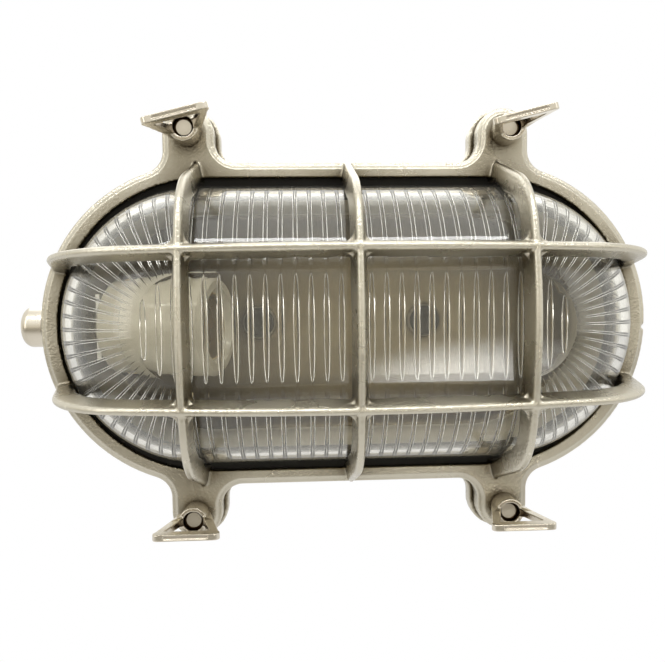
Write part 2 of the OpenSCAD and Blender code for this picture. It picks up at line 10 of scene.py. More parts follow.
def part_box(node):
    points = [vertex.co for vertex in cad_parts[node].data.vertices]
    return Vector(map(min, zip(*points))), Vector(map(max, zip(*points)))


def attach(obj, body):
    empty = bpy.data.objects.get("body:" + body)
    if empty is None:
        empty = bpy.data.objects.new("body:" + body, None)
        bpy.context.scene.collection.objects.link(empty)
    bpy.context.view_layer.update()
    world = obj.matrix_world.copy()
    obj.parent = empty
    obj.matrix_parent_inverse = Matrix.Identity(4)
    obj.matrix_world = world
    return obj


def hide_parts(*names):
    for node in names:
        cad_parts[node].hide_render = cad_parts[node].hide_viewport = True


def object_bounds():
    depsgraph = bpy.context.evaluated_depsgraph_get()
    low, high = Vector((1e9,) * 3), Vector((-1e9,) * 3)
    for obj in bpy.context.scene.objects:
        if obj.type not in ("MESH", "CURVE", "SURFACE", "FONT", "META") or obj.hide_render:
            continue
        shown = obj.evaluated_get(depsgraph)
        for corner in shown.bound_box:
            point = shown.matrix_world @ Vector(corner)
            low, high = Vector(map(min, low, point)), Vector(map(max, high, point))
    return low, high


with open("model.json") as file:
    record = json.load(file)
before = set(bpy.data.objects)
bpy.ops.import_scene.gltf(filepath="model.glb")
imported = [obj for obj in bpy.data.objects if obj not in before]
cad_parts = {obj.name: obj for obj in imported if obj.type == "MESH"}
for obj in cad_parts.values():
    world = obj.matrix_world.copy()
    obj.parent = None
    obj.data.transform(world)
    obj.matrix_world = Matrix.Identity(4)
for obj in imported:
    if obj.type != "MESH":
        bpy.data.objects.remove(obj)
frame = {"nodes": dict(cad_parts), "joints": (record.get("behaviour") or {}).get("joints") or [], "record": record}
cad_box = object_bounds()
node = frame["nodes"]
scene = bpy.context.scene
scene.view_settings.view_transform = "Standard"

# Camera
# It stands close in front of the light, two centimetres left of its middle and level with it,
# and looks slightly down and to the right, as in the photograph.
CAMERA_PLACE = (-0.0209, -0.3273, 0.0087)
CAMERA_TILT = (86.49, 0.75, -2.88)
CAMERA_LENS = 35.73
CAMERA_SHIFT = (0.0007, 0.0195)
CAMERA_NEAR = 0.01
camera_data = bpy.data.cameras.new("camera")
camera_data.lens = CAMERA_LENS
camera_data.shift_x, camera_data.shift_y = CAMERA_SHIFT
camera_data.clip_start = CAMERA_NEAR
camera = bpy.data.objects.new("camera", camera_data)
camera.location = CAMERA_PLACE
camera.rotation_euler = [math.radians(a) for a in CAMERA_TILT]
scene.collection.objects.link(camera)
scene.camera = camera


# Studio
# A pale floor well below the light, a white sweep behind and above it, a dimmer room in front,
# lamps high behind, overhead and on both sides, a long tube and a pale card that the panel mirrors.
FLOOR_DROP = 0.45
FLOOR_SIZE = 9.0
FLOOR_SHINE = 0.7
FLOOR_NEAR = 0.05
FLOOR_FAR = 0.46
FLOOR_DIM = -1.3
FLOOR_PALE = -0.5
FLOOR_COLOUR = (0.66, 0.63, 0.57)
DIM_BELOW = -0.15
FULL_ABOVE = 0.50
DIM_FRONT = -0.55
FULL_BEHIND = 0.0
SWEEP_SIDE = (0.25, 0.97, 0)
ROOM = (0.64, 0.59, 0.475)
SWEEP = (1.0, 0.99, 0.95)
FILL = 0.44


def new_material(name):
    """An empty node material and its node tree."""
    material = bpy.data.materials.new(name)
    material.use_nodes = True
    tree = material.node_tree
    tree.nodes.clear()
    return material, tree


def add(tree, kind, **values):
    """Adds a node; keys with a capital are sockets, the others are settings."""
    made = tree.nodes.new(kind)
    for key, value in values.items():
        if key[0].isupper():
            made.inputs[key.replace("_", " ")].default_value = value
        else:
            setattr(made, key, value)
    return made


def joined(tree, *pairs):
    """Links each (from socket, to socket) pair."""
    for start, end in pairs:
        tree.links.new(start, end)


# Mirrored or seen through glass, the room is dim in front and below and white behind and above.
# Matt surfaces get FILL of its light, and the camera sees it plain white.
world = bpy.data.worlds.new("studio")
scene.world = world
world.use_nodes = True
sky = world.node_tree
sky.nodes.clear()
rays = add(sky, "ShaderNodeLightPath")
mirrored = add(sky, "ShaderNodeMath", operation="MAXIMUM")
level = add(sky, "ShaderNodeMapRange", To_Min=FILL, To_Max=1.0)
heading = add(sky, "ShaderNodeTexCoord")
height = add(sky, "ShaderNodeSeparateXYZ")
rise = add(
    sky, "ShaderNodeMapRange", interpolation_type="SMOOTHSTEP", From_Min=DIM_BELOW, From_Max=FULL_ABOVE
)
toward_sweep = add(sky, "ShaderNodeVectorMath", operation="DOT_PRODUCT")
toward_sweep.inputs[1].default_value = SWEEP_SIDE
behind = add(
    sky, "ShaderNodeMapRange", interpolation_type="SMOOTHSTEP", From_Min=DIM_FRONT, From_Max=FULL_BEHIND
)
swept = add(sky, "ShaderNodeMath", operation="MAXIMUM")
room = add(sky, "ShaderNodeMix", data_type="RGBA")
room.inputs["A"].default_value = (*ROOM, 1)
room.inputs["B"].default_value = (*SWEEP, 1)
seen = add(sky, "ShaderNodeMix", data_type="RGBA")
seen.inputs["B"].default_value = (1, 1, 1, 1)
bright = add(sky, "ShaderNodeMath", operation="MAXIMUM")
surround = add(sky, "ShaderNodeBackground")
sky_out = add(sky, "ShaderNodeOutputWorld")
joined(
    sky,
    (rays.outputs["Is Glossy Ray"], mirrored.inputs[0]),
    (rays.outputs["Is Transmission Ray"], mirrored.inputs[1]),
    (mirrored.outputs[0], bright.inputs[0]),
    (rays.outputs["Is Camera Ray"], bright.inputs[1]),
    (bright.outputs[0], level.inputs["Value"]),
    (heading.outputs["Generated"], height.inputs["Vector"]),
    (height.outputs["Z"], rise.inputs["Value"]),
    (heading.outputs["Generated"], toward_sweep.inputs[0]),
    (toward_sweep.outputs["Value"], behind.inputs["Value"]),
    (rise.outputs["Result"], swept.inputs[0]),
    (behind.outputs["Result"], swept.inputs[1]),
    (swept.outputs[0], room.inputs["Factor"]),
    (room.outputs["Result"], seen.inputs["A"]),
    (rays.outputs["Is Camera Ray"], seen.inputs["Factor"]),
    (seen.outputs["Result"], surround.inputs["Color"]),
    (level.outputs["Result"], surround.inputs["Strength"]),
    (surround.outputs[0], sky_out.inputs["Surface"]),
)

# The camera sees the floor turn white between FLOOR_NEAR and FLOOR_FAR of the middle.
# Mirrored, it is dim in front of FLOOR_DIM and pale from FLOOR_PALE back.
floor_mesh = bpy.data.meshes.new("floor")
half = FLOOR_SIZE / 2
floor_level = cad_box[0][2] - FLOOR_DROP
floor_corners = ((-half, -half), (half, -half), (half, half), (-half, half))
floor_mesh.from_pydata([(x, y, floor_level) for x, y in floor_corners], [], [(0, 1, 2, 3)])
floor = bpy.data.objects.new("floor", floor_mesh)
scene.collection.objects.link(floor)
floor_paint, tree = new_material("floor_paint")
floor_spot = add(tree, "ShaderNodeTexCoord")
floor_flat = add(tree, "ShaderNodeVectorMath", operation="MULTIPLY")
floor_flat.inputs[1].default_value = (1, 1, 0)
floor_reach = add(tree, "ShaderNodeVectorMath", operation="LENGTH")
floor_white = add(tree, "ShaderNodeMapRange", From_Min=FLOOR_NEAR, From_Max=FLOOR_FAR)
floor_rays = add(tree, "ShaderNodeLightPath")
floor_share = add(tree, "ShaderNodeMath", operation="MULTIPLY")
floor_mirrored = add(tree, "ShaderNodeMath", operation="MAXIMUM")
floor_place = add(tree, "ShaderNodeSeparateXYZ")
floor_pale = add(tree, "ShaderNodeMapRange", From_Min=FLOOR_DIM, From_Max=FLOOR_PALE, To_Max=FLOOR_SHINE)
floor_shine = add(tree, "ShaderNodeMath", operation="MULTIPLY_ADD")
floor_shader = add(tree, "ShaderNodeBsdfDiffuse", Color=(*FLOOR_COLOUR, 1))
floor_glow = add(tree, "ShaderNodeEmission", Color=(1, 1, 1, 1), Strength=1.0)
floor_mix = add(tree, "ShaderNodeMixShader")
floor_out = add(tree, "ShaderNodeOutputMaterial")
joined(
    tree,
    (floor_spot.outputs["Object"], floor_flat.inputs[0]),
    (floor_flat.outputs[0], floor_reach.inputs[0]),
    (floor_reach.outputs["Value"], floor_white.inputs["Value"]),
    (floor_white.outputs["Result"], floor_share.inputs[0]),
    (floor_rays.outputs["Is Camera Ray"], floor_share.inputs[1]),
    (floor_rays.outputs["Is Glossy Ray"], floor_mirrored.inputs[0]),
    (floor_rays.outputs["Is Transmission Ray"], floor_mirrored.inputs[1]),
    (floor_mirrored.outputs[0], floor_shine.inputs[0]),
    (floor_spot.outputs["Object"], floor_place.inputs[0]),
    (floor_place.outputs["Y"], floor_pale.inputs["Value"]),
    (floor_pale.outputs["Result"], floor_shine.inputs[1]),
    (floor_share.outputs[0], floor_shine.inputs[2]),
    (floor_shine.outputs[0], floor_mix.inputs[0]),
    (floor_shader.outputs[0], floor_mix.inputs[1]),
    (floor_glow.outputs[0], floor_mix.inputs[2]),
    (floor_mix.outputs[0], floor_out.inputs["Surface"]),
)
floor_mesh.materials.append(floor_paint)

LAMP_AIM = Vector((0, -0.05, 0))


def soft_lamp(name, place, wide, high, power):
    """A soft lamp of the given width and height that faces the light."""
    lamp_data = bpy.data.lights.new(name, "AREA")
    lamp_data.shape = "RECTANGLE"
    lamp_data.size = wide
    lamp_data.size_y = high
    lamp_data.energy = power
    lamp = bpy.data.objects.new(name, lamp_data)
    lamp.location = place
    lamp.rotation_euler = (LAMP_AIM - Vector(place)).to_track_quat("-Z", "Y").to_euler()
    scene.collection.objects.link(lamp)


soft_lamp("high_behind", place=(0.0, 0.75, 0.85), wide=1.5, high=1.1, power=5.5)
soft_lamp("overhead", place=(0.0, -0.45, 1.0), wide=1.0, high=1.0, power=1.5)
soft_lamp("tube", place=(0.0, -0.68, 0.95), wide=1.8, high=0.07, power=5.0)
soft_lamp("front_left", place=(-0.95, -0.95, 0.35), wide=0.35, high=1.0, power=1.5)
soft_lamp("front_right", place=(1.05, -0.85, 0.25), wide=0.35, high=0.8, power=0.6)

CARD_MIDDLE = (0.90, -3.6, -0.425)
CARD_WIDE = 1.70
CARD_HIGH = 0.50
CARD_LEAN = -6
CARD_LIGHT = 8.0
CARD_EDGE = 0.50
CARD_CORE = 0.08
CARD_CORNERS = [(-0.5, 0, -0.5), (0.5, 0, -0.5), (0.5, 0, 0.5), (-0.5, 0, 0.5)]
card_mesh = bpy.data.meshes.new("card")
card_mesh.from_pydata(CARD_CORNERS, [], [(3, 2, 1, 0)])
card = bpy.data.objects.new("card", card_mesh)
card.location = CARD_MIDDLE
card.rotation_euler = (0, math.radians(CARD_LEAN), 0)
card.scale = (CARD_WIDE, 1, CARD_HIGH)
scene.collection.objects.link(card)
card_paint, tree = new_material("card_paint")
card_spot = add(tree, "ShaderNodeTexCoord")
card_reach = add(tree, "ShaderNodeVectorMath", operation="LENGTH")
card_soft = add(
    tree, "ShaderNodeMapRange", interpolation_type="SMOOTHSTEP", From_Min=CARD_EDGE, From_Max=CARD_CORE
)
card_glow = add(tree, "ShaderNodeEmission", Color=(*SWEEP, 1), Strength=CARD_LIGHT)
card_clear = add(tree, "ShaderNodeBsdfTransparent")
card_mix = add(tree, "ShaderNodeMixShader")
card_out = add(tree, "ShaderNodeOutputMaterial")
joined(
    tree,
    (card_spot.outputs["Object"], card_reach.inputs[0]),
    (card_reach.outputs["Value"], card_soft.inputs["Value"]),
    (card_soft.outputs["Result"], card_mix.inputs[0]),
    (card_clear.outputs[0], card_mix.inputs[1]),
    (card_glow.outputs[0], card_mix.inputs[2]),
    (card_mix.outputs[0], card_out.inputs["Surface"]),
)
card_mesh.materials.append(card_paint)


# Base
# Cast brass dish with a flange, ears and bosses, nickel plated to a satin finish.
# It is screwed to the wall through its floor and carries everything else.
BASE_VOXEL = 0.0010
BASE_RELAX = 2
BASE_TRIANGLES = 110000
RELAX_SHARE = 0.5
WORN_LIGHTER = 1.12
WORN_SHARE = 0.6


def settle(piece):
    """Applies a piece's modifiers."""
    graph = bpy.context.evaluated_depsgraph_get()
    shaped = bpy.data.meshes.new_from_object(piece.evaluated_get(graph))
    old = piece.data
    piece.modifiers.clear()
    piece.data = shaped
    bpy.data.meshes.remove(old)


def cast_copy(name, source, voxel, relax, triangles):
    """A soft-edged copy of a CAD node, as a casting has: skinned, relaxed and thinned."""
    piece = bpy.data.objects.new(name, node[source].data.copy())
    scene.collection.objects.link(piece)
    piece.data.materials.clear()
    skin = piece.modifiers.new("skin", "REMESH")
    skin.mode = "VOXEL"
    skin.voxel_size = voxel
    relaxed = piece.modifiers.new("relaxed", "SMOOTH")
    relaxed.factor = RELAX_SHARE
    relaxed.iterations = relax
    settle(piece)
    piece.data.calc_loop_triangles()
    count = len(piece.data.loop_triangles)
    if count > triangles:
        thin = piece.modifiers.new("thin", "DECIMATE")
        thin.ratio = triangles / count
        settle(piece)
    piece.data.shade_smooth()
    return piece


def new_group(name, inputs, outputs):
    """A shader node group with the given float inputs and (name, type) outputs."""
    group = bpy.data.node_groups.new(name, "ShaderNodeTree")
    for key, value in inputs.items():
        socket = group.interface.new_socket(key, in_out="INPUT", socket_type="NodeSocketFloat")
        socket.default_value = value
    for key, kind in outputs:
        group.interface.new_socket(key, in_out="OUTPUT", socket_type=kind)
    return group, group.nodes.new("NodeGroupInput"), group.nodes.new("NodeGroupOutput")


# Cast skin: a fine pebble from the sand, soft cloudy tone, and an occlusion mask for grime and painted shade in
# the hollows
cast_skin, given, result = new_group(
    "cast_skin",
    {"Pebble Scale": 1400.0, "Cloud Scale": 38.0, "Hollow Reach": 0.014},
    [("Height", "NodeSocketFloat"), ("Cloud", "NodeSocketFloat"), ("Hollow", "NodeSocketFloat"),
     ("Edge", "NodeSocketFloat")],
)
spot = add(cast_skin, "ShaderNodeTexCoord")
pebble = add(cast_skin, "ShaderNodeTexNoise", Detail=3.0, Roughness=0.6)
cloud = add(cast_skin, "ShaderNodeTexNoise", Detail=4.0, Roughness=0.55)
hollow = add(cast_skin, "ShaderNodeAmbientOcclusion", samples=8)
hollow_range = add(cast_skin, "ShaderNodeMapRange", From_Min=0.92, From_Max=0.45)
bend = add(cast_skin, "ShaderNodeNewGeometry")
edge_range = add(cast_skin, "ShaderNodeMapRange", From_Min=0.52, From_Max=0.60)
joined(
    cast_skin,
    (spot.outputs["Object"], pebble.inputs["Vector"]),
    (spot.outputs["Object"], cloud.inputs["Vector"]),
    (given.outputs["Pebble Scale"], pebble.inputs["Scale"]),
    (given.outputs["Cloud Scale"], cloud.inputs["Scale"]),
    (given.outputs["Hollow Reach"], hollow.inputs["Distance"]),
    (hollow.outputs["AO"], hollow_range.inputs["Value"]),
    (bend.outputs["Pointiness"], edge_range.inputs["Value"]),
    (pebble.outputs["Fac"], result.inputs["Height"]),
    (cloud.outputs["Fac"], result.inputs["Cloud"]),
    (hollow_range.outputs["Result"], result.inputs["Hollow"]),
    (edge_range.outputs["Result"], result.inputs["Edge"]),
)


def plated_metal(
    name, light, dark, grime_and_shade, smooth, rough, pebble_scale, pebble_depth, hollow_reach=0.014, metallic=1.0
):
    """Satin plated metal: cloudy tone, browner in the hollows from grime and painted shade, and brighter on worn
    edges.
    """
    material, tree = new_material(name)
    skin = add(
        tree, "ShaderNodeGroup", node_tree=cast_skin, Pebble_Scale=pebble_scale, Hollow_Reach=hollow_reach
    )
    tone = add(tree, "ShaderNodeMix", data_type="RGBA")
    tone.inputs["A"].default_value = (*dark, 1)
    tone.inputs["B"].default_value = (*light, 1)
    # The hollow mask mixes in the grime colour: partly real grime, partly painted shade where shade falls in
    # corners and under parts.
    grime_and_shade_mix = add(tree, "ShaderNodeMix", data_type="RGBA")
    grime_and_shade_mix.inputs["B"].default_value = (*grime_and_shade, 1)
    worn = add(tree, "ShaderNodeMix", data_type="RGBA")
    worn.inputs["B"].default_value = (*[min(1.0, c * WORN_LIGHTER) for c in light], 1)
    worn_share = add(tree, "ShaderNodeMath", operation="MULTIPLY")
    worn_share.inputs[1].default_value = WORN_SHARE
    gloss = add(tree, "ShaderNodeMapRange", From_Min=0.3, From_Max=0.7, To_Min=smooth, To_Max=rough)
    bump = add(tree, "ShaderNodeBump", Strength=0.5, Distance=pebble_depth)
    metal = add(tree, "ShaderNodeBsdfPrincipled", Metallic=metallic)
    out = add(tree, "ShaderNodeOutputMaterial")
    joined(
        tree,
        (skin.outputs["Cloud"], tone.inputs["Factor"]),
        (tone.outputs["Result"], grime_and_shade_mix.inputs["A"]),
        (skin.outputs["Hollow"], grime_and_shade_mix.inputs["Factor"]),
        (grime_and_shade_mix.outputs["Result"], worn.inputs["A"]),
        (skin.outputs["Edge"], worn_share.inputs[0]),
        (worn_share.outputs[0], worn.inputs["Factor"]),
        (worn.outputs["Result"], metal.inputs["Base Color"]),
        (skin.outputs["Cloud"], gloss.inputs["Value"]),
        (gloss.outputs["Result"], metal.inputs["Roughness"]),
        (skin.outputs["Height"], bump.inputs["Height"]),
        (bump.outputs["Normal"], metal.inputs["Normal"]),
        (metal.outputs[0], out.inputs["Surface"]),
    )
    return material


def finish(piece, material):
    """Gives a piece one material all over."""
    piece.data.materials.clear()
    piece.data.materials.append(material)


# Its brown hollows, darkest round the ear barrels, are partly grime and partly painted shade.
cast_nickel = plated_metal(
    "cast_nickel",
    light=(0.73, 0.69, 0.585), dark=(0.55, 0.51, 0.41), grime_and_shade=(0.12, 0.095, 0.055),
    smooth=0.18, rough=0.36, pebble_scale=950.0, pebble_depth=0.00045, hollow_reach=0.019,
)
base = cast_copy("base_casting", "base", BASE_VOXEL, BASE_RELAX, BASE_TRIANGLES)
finish(base, cast_nickel)
# Inside the dish the walls are dull, and the floor facing the front is dark brown painted shade
dull_plate = plated_metal(
    "dull_plate",
    light=(0.74, 0.70, 0.60), dark=(0.50, 0.46, 0.37), grime_and_shade=(0.20, 0.17, 0.11),
    smooth=0.42, rough=0.60, pebble_scale=1100.0, pebble_depth=0.00015, hollow_reach=0.019, metallic=0.25,
)
# Painted shade: this dark brown and its wide hollow reach darken the dish floor, most of all under the lampholder.
dish_shade_casting = plated_metal(
    "dish_shade_casting",
    light=(0.54, 0.46, 0.30), dark=(0.10, 0.075, 0.045), grime_and_shade=(0.06, 0.045, 0.025),
    smooth=0.42, rough=0.62, pebble_scale=1100.0, pebble_depth=0.00015, hollow_reach=0.060,
)
base.data.materials.append(dish_shade_casting)
base.data.materials.append(dull_plate)
DISH_INSIDE = 0.0580
DISH_FLOOR = 0.0030
DISH_SHADE_FACING = -0.6
DISH_SHADE_SLOT = 1
DULL_SLOT = 2
glass_low, glass_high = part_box("glass")
# Dish faces that face the front get the painted shade colour, and the rest get the dull plate.
for face in base.data.polygons:
    middle = face.center
    reach = math.hypot(max(abs(middle.x) - glass_high[0] + glass_high[2], 0.0), middle.z)
    if reach < DISH_INSIDE and middle.y < -DISH_FLOOR:
        face.material_index = DISH_SHADE_SLOT if face.normal.y < DISH_SHADE_FACING else DULL_SLOT
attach(base, "base")
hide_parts("base")

# Base gasket
# Flat ring of black rubber, cut from sheet.
# It is laid on the flange of the base, under the glass.
RUBBER_DARK = (0.007, 0.007, 0.006)
RUBBER_DUSTY = (0.028, 0.026, 0.022)


def rubber_sheet(name):
    """Matt black rubber with a fine grain and a trace of pale dust."""
    material, tree = new_material(name)
    spot = add(tree, "ShaderNodeTexCoord")
    grain = add(tree, "ShaderNodeTexNoise", Scale=2600.0, Detail=2.0)
    dust = add(tree, "ShaderNodeTexNoise", Scale=90.0, Detail=5.0)
    tone = add(tree, "ShaderNodeMix", data_type="RGBA")
    tone.inputs["A"].default_value = (*RUBBER_DARK, 1)
    tone.inputs["B"].default_value = (*RUBBER_DUSTY, 1)
    dull = add(tree, "ShaderNodeMapRange", To_Min=0.5, To_Max=0.8)
    bump = add(tree, "ShaderNodeBump", Strength=0.3, Distance=0.00005)
    rubber = add(tree, "ShaderNodeBsdfPrincipled", Specular_IOR_Level=0.3)
    out = add(tree, "ShaderNodeOutputMaterial")
    joined(
        tree,
        (spot.outputs["Object"], grain.inputs["Vector"]),
        (spot.outputs["Object"], dust.inputs["Vector"]),
        (dust.outputs["Fac"], tone.inputs["Factor"]),
        (tone.outputs["Result"], rubber.inputs["Base Color"]),
        (dust.outputs["Fac"], dull.inputs["Value"]),
        (dull.outputs["Result"], rubber.inputs["Roughness"]),
        (grain.outputs["Fac"], bump.inputs["Height"]),
        (bump.outputs["Normal"], rubber.inputs["Normal"]),
        (rubber.outputs[0], out.inputs["Surface"]),
    )
    return material


black_rubber = rubber_sheet("black_rubber")
finish(node["base_gasket"], black_rubber)

# Screw hole shades
# Black grommet shapes set into the two wall-screw bosses and lapped over their tops, with a thin web across the
# middle;
# they are painted shade, dark pieces put where the screw holes lie in shadow.
BOSS_TOP = 0.0075
HOLE_SHADE_PROFILE = [
    (0.0000, -0.0012), (0.0016, -0.0012), (0.0018, -0.0018), (0.0018, -0.0069), (0.0024, -0.0070),
    (0.0026, -0.0066), (0.0026, -0.0039), (0.0050, -0.0039), (0.0051, -0.0036), (0.0051, 0.0000),
    (0.0068, 0.0000), (0.0072, 0.0004), (0.0068, 0.0011), (0.0055, 0.0015), (0.0036, 0.0013),
    (0.0028, 0.0006), (0.0018, -0.0002), (0.0000, -0.0004),
]
HOLE_SHADE_STEPS = 48
HOLE_SHADE_MERGE = 1e-6


def turned(name, profile, steps):
    """A closed mesh of revolution about -Y from (radius, height) points."""
    points = []
    faces = []
    for step in range(steps):
        angle = 2 * math.pi * step / steps
        points += [(r * math.cos(angle), -h, r * math.sin(angle)) for r, h in profile]
    rows = len(profile)
    for step in range(steps):
        here = step * rows
        there = (step + 1) % steps * rows
        for row in range(rows - 1):
            faces.append((here + row, here + row + 1, there + row + 1, there + row))
    mesh = bpy.data.meshes.new(name)
    mesh.from_pydata(points, [], faces)
    work = bmesh.new()
    work.from_mesh(mesh)
    bmesh.ops.remove_doubles(work, verts=work.verts, dist=HOLE_SHADE_MERGE)
    bmesh.ops.recalc_face_normals(work, faces=work.faces)
    work.to_mesh(mesh)
    work.free()
    mesh.shade_smooth()
    piece = bpy.data.objects.new(name, mesh)
    scene.collection.objects.link(piece)
    return piece


screw_mount = next(m for m in frame["record"]["mounts"] if m["name"] == "wall_screws")
screws_apart = screw_mount["dims"]["spacing_x_mm"] / 1000
for name, side in (("screw_hole_shade_left", -1), ("screw_hole_shade_right", 1)):
    hole_shade = turned(name, HOLE_SHADE_PROFILE, HOLE_SHADE_STEPS)
    hole_shade.location = (side * screws_apart / 2, -BOSS_TOP, 0)
    # The black rubber here is painted shade for the shadowed screw holes.
    finish(hole_shade, black_rubber)
    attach(hole_shade, "base")

# Studs
# Four lengths of brass rod, turned and nickel plated.
# They are screwed into the ears of the base from the front.
turned_nickel = plated_metal(
    "turned_nickel",
    light=(0.75, 0.70, 0.60), dark=(0.65, 0.59, 0.48), grime_and_shade=(0.24, 0.18, 0.11),
    smooth=0.20, rough=0.32, pebble_scale=2200.0, pebble_depth=0.00003,
)
finish(node["studs"], turned_nickel)

# Cable gland
# Turned brass body and dome nut on the left end of the base, plated like the casting,
# with a rubber seal that the nut squeezes.
finish(node["gland_body"], turned_nickel)
finish(node["gland_nut"], turned_nickel)
finish(node["gland_seal"], black_rubber)

# Bracket and its screws
# Bent strip of zinc plated steel that holds the lampholder at a slant.
# Two screws fix it to the floor of the base and two more fix the lampholder to it.
zinc_steel = plated_metal(
    "zinc_steel",
    light=(0.66, 0.66, 0.64), dark=(0.52, 0.52, 0.50), grime_and_shade=(0.20, 0.18, 0.15),
    smooth=0.28, rough=0.42, pebble_scale=900.0, pebble_depth=0.00002,
)
for name in ("lampholder_bracket", "bracket_screws", "holder_screws"):
    finish(node[name], zinc_steel)

# Lampholder
# Glazed cream ceramic body with a brass screw shell and centre contact, fixed to the bracket
# from behind. Its terminal screws and the earth screw on the floor of the base are brass too.
GLAZE_DEEP = (0.50, 0.465, 0.38)
GLAZE_PALE = (0.61, 0.575, 0.48)
GLAZE_SPECK = (0.45, 0.38, 0.28)
plain_brass = plated_metal(
    "plain_brass",
    light=(0.86, 0.74, 0.48), dark=(0.74, 0.60, 0.36), grime_and_shade=(0.20, 0.13, 0.05),
    smooth=0.22, rough=0.36, pebble_scale=1800.0, pebble_depth=0.00003,
)
for name in ("lampholder_shell", "lampholder_contact", "terminal_screws", "earth_screw"):
    finish(node[name], plain_brass)


def glazed_ceramic(name):
    """Cream glaze with faint clouds and specks under a clear gloss."""
    material, tree = new_material(name)
    spot = add(tree, "ShaderNodeTexCoord")
    cloud = add(tree, "ShaderNodeTexNoise", Scale=60.0, Detail=4.0)
    speck = add(tree, "ShaderNodeTexNoise", Scale=900.0, Detail=1.0)
    speck_range = add(tree, "ShaderNodeMapRange", From_Min=0.70, From_Max=0.76)
    tone = add(tree, "ShaderNodeMix", data_type="RGBA")
    tone.inputs["A"].default_value = (*GLAZE_DEEP, 1)
    tone.inputs["B"].default_value = (*GLAZE_PALE, 1)
    specked = add(tree, "ShaderNodeMix", data_type="RGBA")
    specked.inputs["B"].default_value = (*GLAZE_SPECK, 1)
    ripple = add(tree, "ShaderNodeBump", Strength=0.15, Distance=0.0002)
    ceramic = add(tree, "ShaderNodeBsdfPrincipled", Roughness=0.22, Coat_Weight=0.4, Coat_Roughness=0.08)
    out = add(tree, "ShaderNodeOutputMaterial")
    joined(
        tree,
        (spot.outputs["Object"], cloud.inputs["Vector"]),
        (spot.outputs["Object"], speck.inputs["Vector"]),
        (speck.outputs["Fac"], speck_range.inputs["Value"]),
        (cloud.outputs["Fac"], tone.inputs["Factor"]),
        (tone.outputs["Result"], specked.inputs["A"]),
        (speck_range.outputs["Result"], specked.inputs["Factor"]),
        (specked.outputs["Result"], ceramic.inputs["Base Color"]),
        (cloud.outputs["Fac"], ripple.inputs["Height"]),
        (ripple.outputs["Normal"], ceramic.inputs["Normal"]),
        (ceramic.outputs[0], out.inputs["Surface"]),
    )
    return material


finish(node["lampholder"], glazed_ceramic("cream_ceramic"))

# Glass
# Clear pressed bowl with rounded ribs on its inner face and a flat front panel,
# clamped by its flange between the two rubber rings.
FLANGE_OUT = 0.0042
FLANGE_DEEP = 0.0030
FLANGE_ROUND = 0.0004
GLASS_WALL = 0.0036
FLANK_R = 0.0450
PANEL_HALF = 0.0200
RIB_STEPS = 22
RIB_ANGLE = math.radians(6)
RIB_WIDE = 0.0017
RIB_HIGH = 0.00060
RIB_STARTS = 4
RIB_FULL = 12
RIB_FALLS = 69
RIB_ENDS = 75
END_RIB_R = 0.050
RIB_SHARES = (0.0, 0.35, 0.6, 0.8, 0.93, 1.0)
ARC_ROWS = 20
SPINDLE_ROWS = 24
SPINDLE_SHORT = 0.0003
SPINDLE_HIGH = 0.0011
SPINDLE_WIDE = 0.0024
SPINDLE_BLUNT = 0.42
SPINDLE_TIP = 0.05
SPINDLE_MARGIN = 0.0030
SHARP_ANGLE = math.radians(40)
GLASS_MERGE = 1e-7
GLASS_TINT = (0.97, 0.96, 0.90)
SHADOW_TINT = (0.80, 0.79, 0.76)
FILM_THIN = 0.008
FILM_THICK = 0.030
flange_r = glass_high[2]
glass_spine = glass_high[0] - flange_r
panel_front = -glass_low[1]
flange_back = -glass_high[1]
flange_front = flange_back + FLANGE_DEEP
rim_r = flange_r - FLANGE_OUT
flank_x = rim_r - FLANK_R
flank_z = panel_front - math.sqrt(FLANK_R**2 - (PANEL_HALF - flank_x) ** 2)
rib_pitch = 2 * glass_spine / RIB_STEPS


def rib_places(pitch, wide):
    """Offsets from one rib's middle to just before the next one's, with the rib's share of height."""
    rising = [(share * wide / 2, math.sqrt(1 - share**2)) for share in RIB_SHARES]
    falling = [(pitch - place, lift) for place, lift in reversed(rising[1:])]
    return rising + [(pitch / 2, 0.0)] + falling


def bowl_columns():
    """(centre, outward x, outward z, rib share) of each step round the bowl, from the top left."""
    columns = []
    for side in (1, -1):
        for step in range(RIB_STEPS):
            for place, lift in rib_places(rib_pitch, RIB_WIDE):
                columns.append((side * (step * rib_pitch + place - glass_spine), 0.0, float(side), lift))
        for step in range(round(math.pi / RIB_ANGLE)):
            for place, lift in rib_places(RIB_ANGLE, RIB_WIDE / END_RIB_R):
                turn = step * RIB_ANGLE + place
                columns.append((side * glass_spine, side * math.sin(turn), side * math.cos(turn), lift))
    return columns


def ease(x):
    """Smooth step from 0 to 1."""
    x = min(max(x, 0.0), 1.0)
    return x * x * (3 - 2 * x)


def rib_fade(angle):
    """Ribs start a little above the rim and die out below the panel's edge."""
    degrees = math.degrees(angle)
    rising = ease((degrees - RIB_STARTS) / (RIB_FULL - RIB_STARTS))
    return rising * ease((RIB_ENDS - degrees) / (RIB_ENDS - RIB_FALLS))


def flank_profile(inset, lift):
    """(radius, depth) points of the flank, drawn in by inset, from the rim to the panel."""
    radius = FLANK_R - inset
    top = math.asin((panel_front - inset - flank_z) / radius)
    points = []
    for row in range(ARC_ROWS + 1):
        angle = top * row / ARC_ROWS
        reach = radius - lift * RIB_HIGH * rib_fade(angle)
        points.append((flank_x + reach * math.cos(angle), flank_z + reach * math.sin(angle)))
    return points


